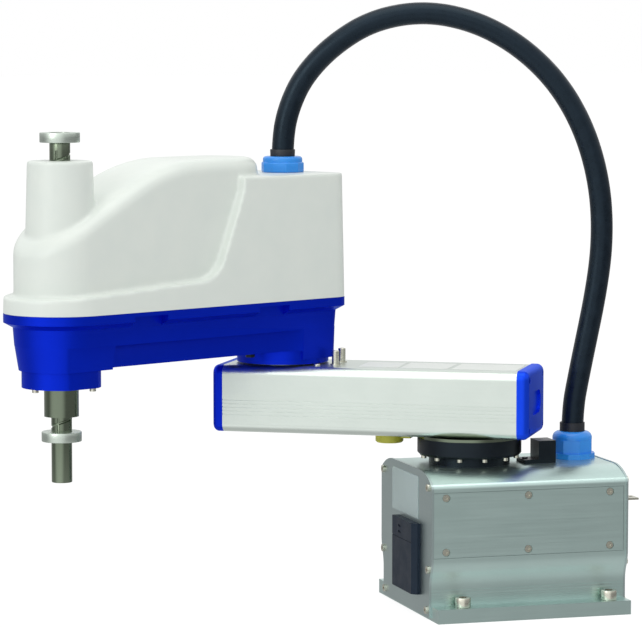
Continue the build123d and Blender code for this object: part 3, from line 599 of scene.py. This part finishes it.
def make_boss_screws():
    """Three screw heads under the nose, one piece like the solids they stand for."""
    heads = []
    for turn in (0, 120, 240):
        spot = polar(wrist_place, 33, ARM_2_ANGLE + turn)
        head = post("boss_screw", spot, 3.2, 242.7, 246.8, 32)
        round_edges(head, 0.4, 2, 60)
        heads.append(head)
    combine(heads[0], heads[1], "UNION")
    combine(heads[0], heads[2], "UNION")
    dress(heads[0], "screw_steel", "arm_2", "boss_screws")


def make_base_screw(centre):
    """M10 socket head in a mounting hole of the foot."""
    low = 14.5
    height = 10
    across_flats = 8
    head = post("base_screw", centre, 8, low, low + height, 40)
    round_edges(head, 0.6, 2, 60)
    socket_floor = low + height * 0.45
    socket = post("socket", centre, across_flats / 1.732, socket_floor, low + height + 1, 6, 15)
    combine(head, socket, "DIFFERENCE")
    dress(head, "screw_steel", "base")


def make_swing_stop(turn):
    """Stop bolt under the second arm; at the swing's end it meets a pin of the first."""
    bolt = post("swing_stop", polar(elbow_place, 62, ARM_2_ANGLE + turn), 4.75, 259.8, 266, 32)
    round_edges(bolt, 0.5, 2, 60)
    dress(bolt, "black_metal", "arm_2")


def bare_plate(name, low_points, high_points, body, stock):
    """Blank label stock, left without any marks."""
    plate = block(name, low_points, high_points)
    only(plate)
    plate.data.materials.clear()
    plate.data.materials.append(stock)
    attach(plate, body)


def plates_on_arm_1():
    """Three plates on the beam's top: start, end, left and right edge from the first joint's axis."""
    beam_top = 249.4
    thickness = 0.35
    forward = heading(ARM_1_ANGLE)
    across = heading(ARM_1_ANGLE + 90)
    plates = ((70.5, 112, 28, -22), (18, 67, 30, -24), (-54, 13, 30, -26))
    for number, (start, end, left, right) in enumerate(plates):
        corners = [(start, right), (end, right), (end, left), (start, left)]
        rings = [
            [SHOULDER + (forward * x + across * y + Vector((0, 0, z))) * MM for x, y in corners]
            for z in (beam_top, beam_top + thickness)
        ]
        bare_plate(f"beam_label_{number + 1}", rings[0], rings[1], "arm_1", blank_label)


def plate_on_front():
    """One plate on the front end plate, above the black cover."""
    corners = [(-41, 99), (46, 99), (46, 143), (-41, 143)]
    rings = [[Vector((x, y, z)) * MM for y, z in corners] for x in (-111.2, -111.65)]
    bare_plate("front_label", rings[0], rings[1], "base", silver_label)


make_cover()
make_casting()
make_arm_gland()
make_shaft()
for x in (-79, 79):
    for y in (-88.5, 88.5):
        make_base_screw((x, y))
for turn in (14, -14):
    make_swing_stop(turn)
make_collar("lower_collar", 192.2, 201.9)
make_collar("upper_collar", 487.7, 497.4)
make_boss_screws()
plates_on_arm_1()
plate_on_front()


# Studio: white to the eye, with panels that only the reflections see
def eased(tree, value, start, end, low, high):
    return add_node(
        tree, "ShaderNodeMapRange", {"interpolation_type": "SMOOTHSTEP"},
        {"Value": value, "From Min": start, "From Max": end, "To Min": low, "To Max": high},
    ).outputs[0]


def total(tree, first, second):
    return add_node(tree, "ShaderNodeMath", inputs={0: first, 1: second}).outputs[0]


def white_room():
    """Reflections see a bright ceiling, a key panel front left, a pale back and floor, and a dim right."""
    world = bpy.data.worlds.new("white_room")
    bpy.context.scene.world = world
    world.use_nodes = True
    tree = world.node_tree
    tree.nodes.clear()
    ray = add_node(tree, "ShaderNodeLightPath")
    place = add_node(tree, "ShaderNodeTexCoord")
    axes = add_node(tree, "ShaderNodeSeparateXYZ", inputs={0: place.outputs["Generated"]})
    ceiling = eased(tree, axes.outputs["Z"], -0.05, 0.4, 0.3, 1.05)
    behind = eased(tree, axes.outputs["Y"], 0.3, 0.9, 0.0, 0.16)
    toward_key = add_node(
        tree, "ShaderNodeVectorMath", {"operation": "DOT_PRODUCT"},
        {0: place.outputs["Generated"], 1: (-0.68, -0.74, 0)},
    )
    key = eased(tree, toward_key.outputs["Value"], 0.45, 0.92, 0.0, 0.75)
    below = eased(tree, axes.outputs["Z"], -0.15, -0.6, 0.0, 0.4)
    mirrored = total(tree, ceiling, total(tree, key, total(tree, behind, below)))
    height = {"Value": axes.outputs["Z"], "From Min": -1.0, "From Max": 1.0}
    diffuse = add_node(tree, "ShaderNodeMapRange", inputs={**height, "To Min": 0.42, "To Max": 0.78})
    lighting = add_node(
        tree, "ShaderNodeMix", inputs={0: ray.outputs["Is Glossy Ray"], 2: diffuse.outputs[0], 3: mirrored}
    )
    seen = add_node(
        tree, "ShaderNodeMath", {"operation": "MAXIMUM"},
        {0: ray.outputs["Is Camera Ray"], 1: ray.outputs["Is Transmission Ray"]},
    )
    strength = add_node(tree, "ShaderNodeMix", inputs={0: seen.outputs[0], 2: lighting.outputs[0], 3: 1.0})
    light = add_node(
        tree, "ShaderNodeBackground", inputs={"Color": (1, 1, 1, 1), "Strength": strength.outputs[0]}
    )
    add_node(tree, "ShaderNodeOutputWorld", inputs={"Surface": light.outputs[0]})


def pale_floor():
    """Near white to the camera but still shaded, and left out of reflections."""
    bpy.ops.mesh.primitive_plane_add(size=60, location=(0, 0, 0))
    floor = bpy.context.object
    floor.name = "floor"
    finish = bpy.data.materials.new("pale_floor")
    finish.use_nodes = True
    tree = finish.node_tree
    tree.nodes.clear()
    ray = add_node(tree, "ShaderNodeLightPath")
    share = add_node(
        tree, "ShaderNodeMath", {"operation": "MULTIPLY"}, {0: ray.outputs["Is Camera Ray"], 1: 0.8}
    )
    matte = add_node(tree, "ShaderNodeBsdfDiffuse", inputs={"Color": (0.9, 0.9, 0.9, 1)})
    glow = add_node(tree, "ShaderNodeEmission", inputs={"Color": (1, 1, 1, 1), "Strength": 1.12})
    lit = add_node(
        tree, "ShaderNodeMixShader",
        inputs={0: share.outputs[0], 1: matte.outputs[0], 2: glow.outputs[0]},
    )
    unseen = add_node(tree, "ShaderNodeBsdfTransparent")
    floor_shader = add_node(
        tree, "ShaderNodeMixShader",
        inputs={0: ray.outputs["Is Glossy Ray"], 1: lit.outputs[0], 2: unseen.outputs[0]},
    )
    add_node(tree, "ShaderNodeOutputMaterial", inputs={"Surface": floor_shader.outputs[0]})
    floor.data.materials.append(finish)


bpy.context.scene.view_settings.view_transform = "Standard"
photo_camera()
make_hose()
white_room()
pale_floor()
soft_lamp("top_lamp", (-0.3, -0.4, 2.4), (-0.15, 0, 0.2), (2.4, 1.8), 21, (1, 0.99, 0.96))
soft_lamp("left_lamp", (-2.4, -1.4, 1.2), (-0.2, 0, 0.3), (1.2, 1.6), 13, (1, 1, 0.97))
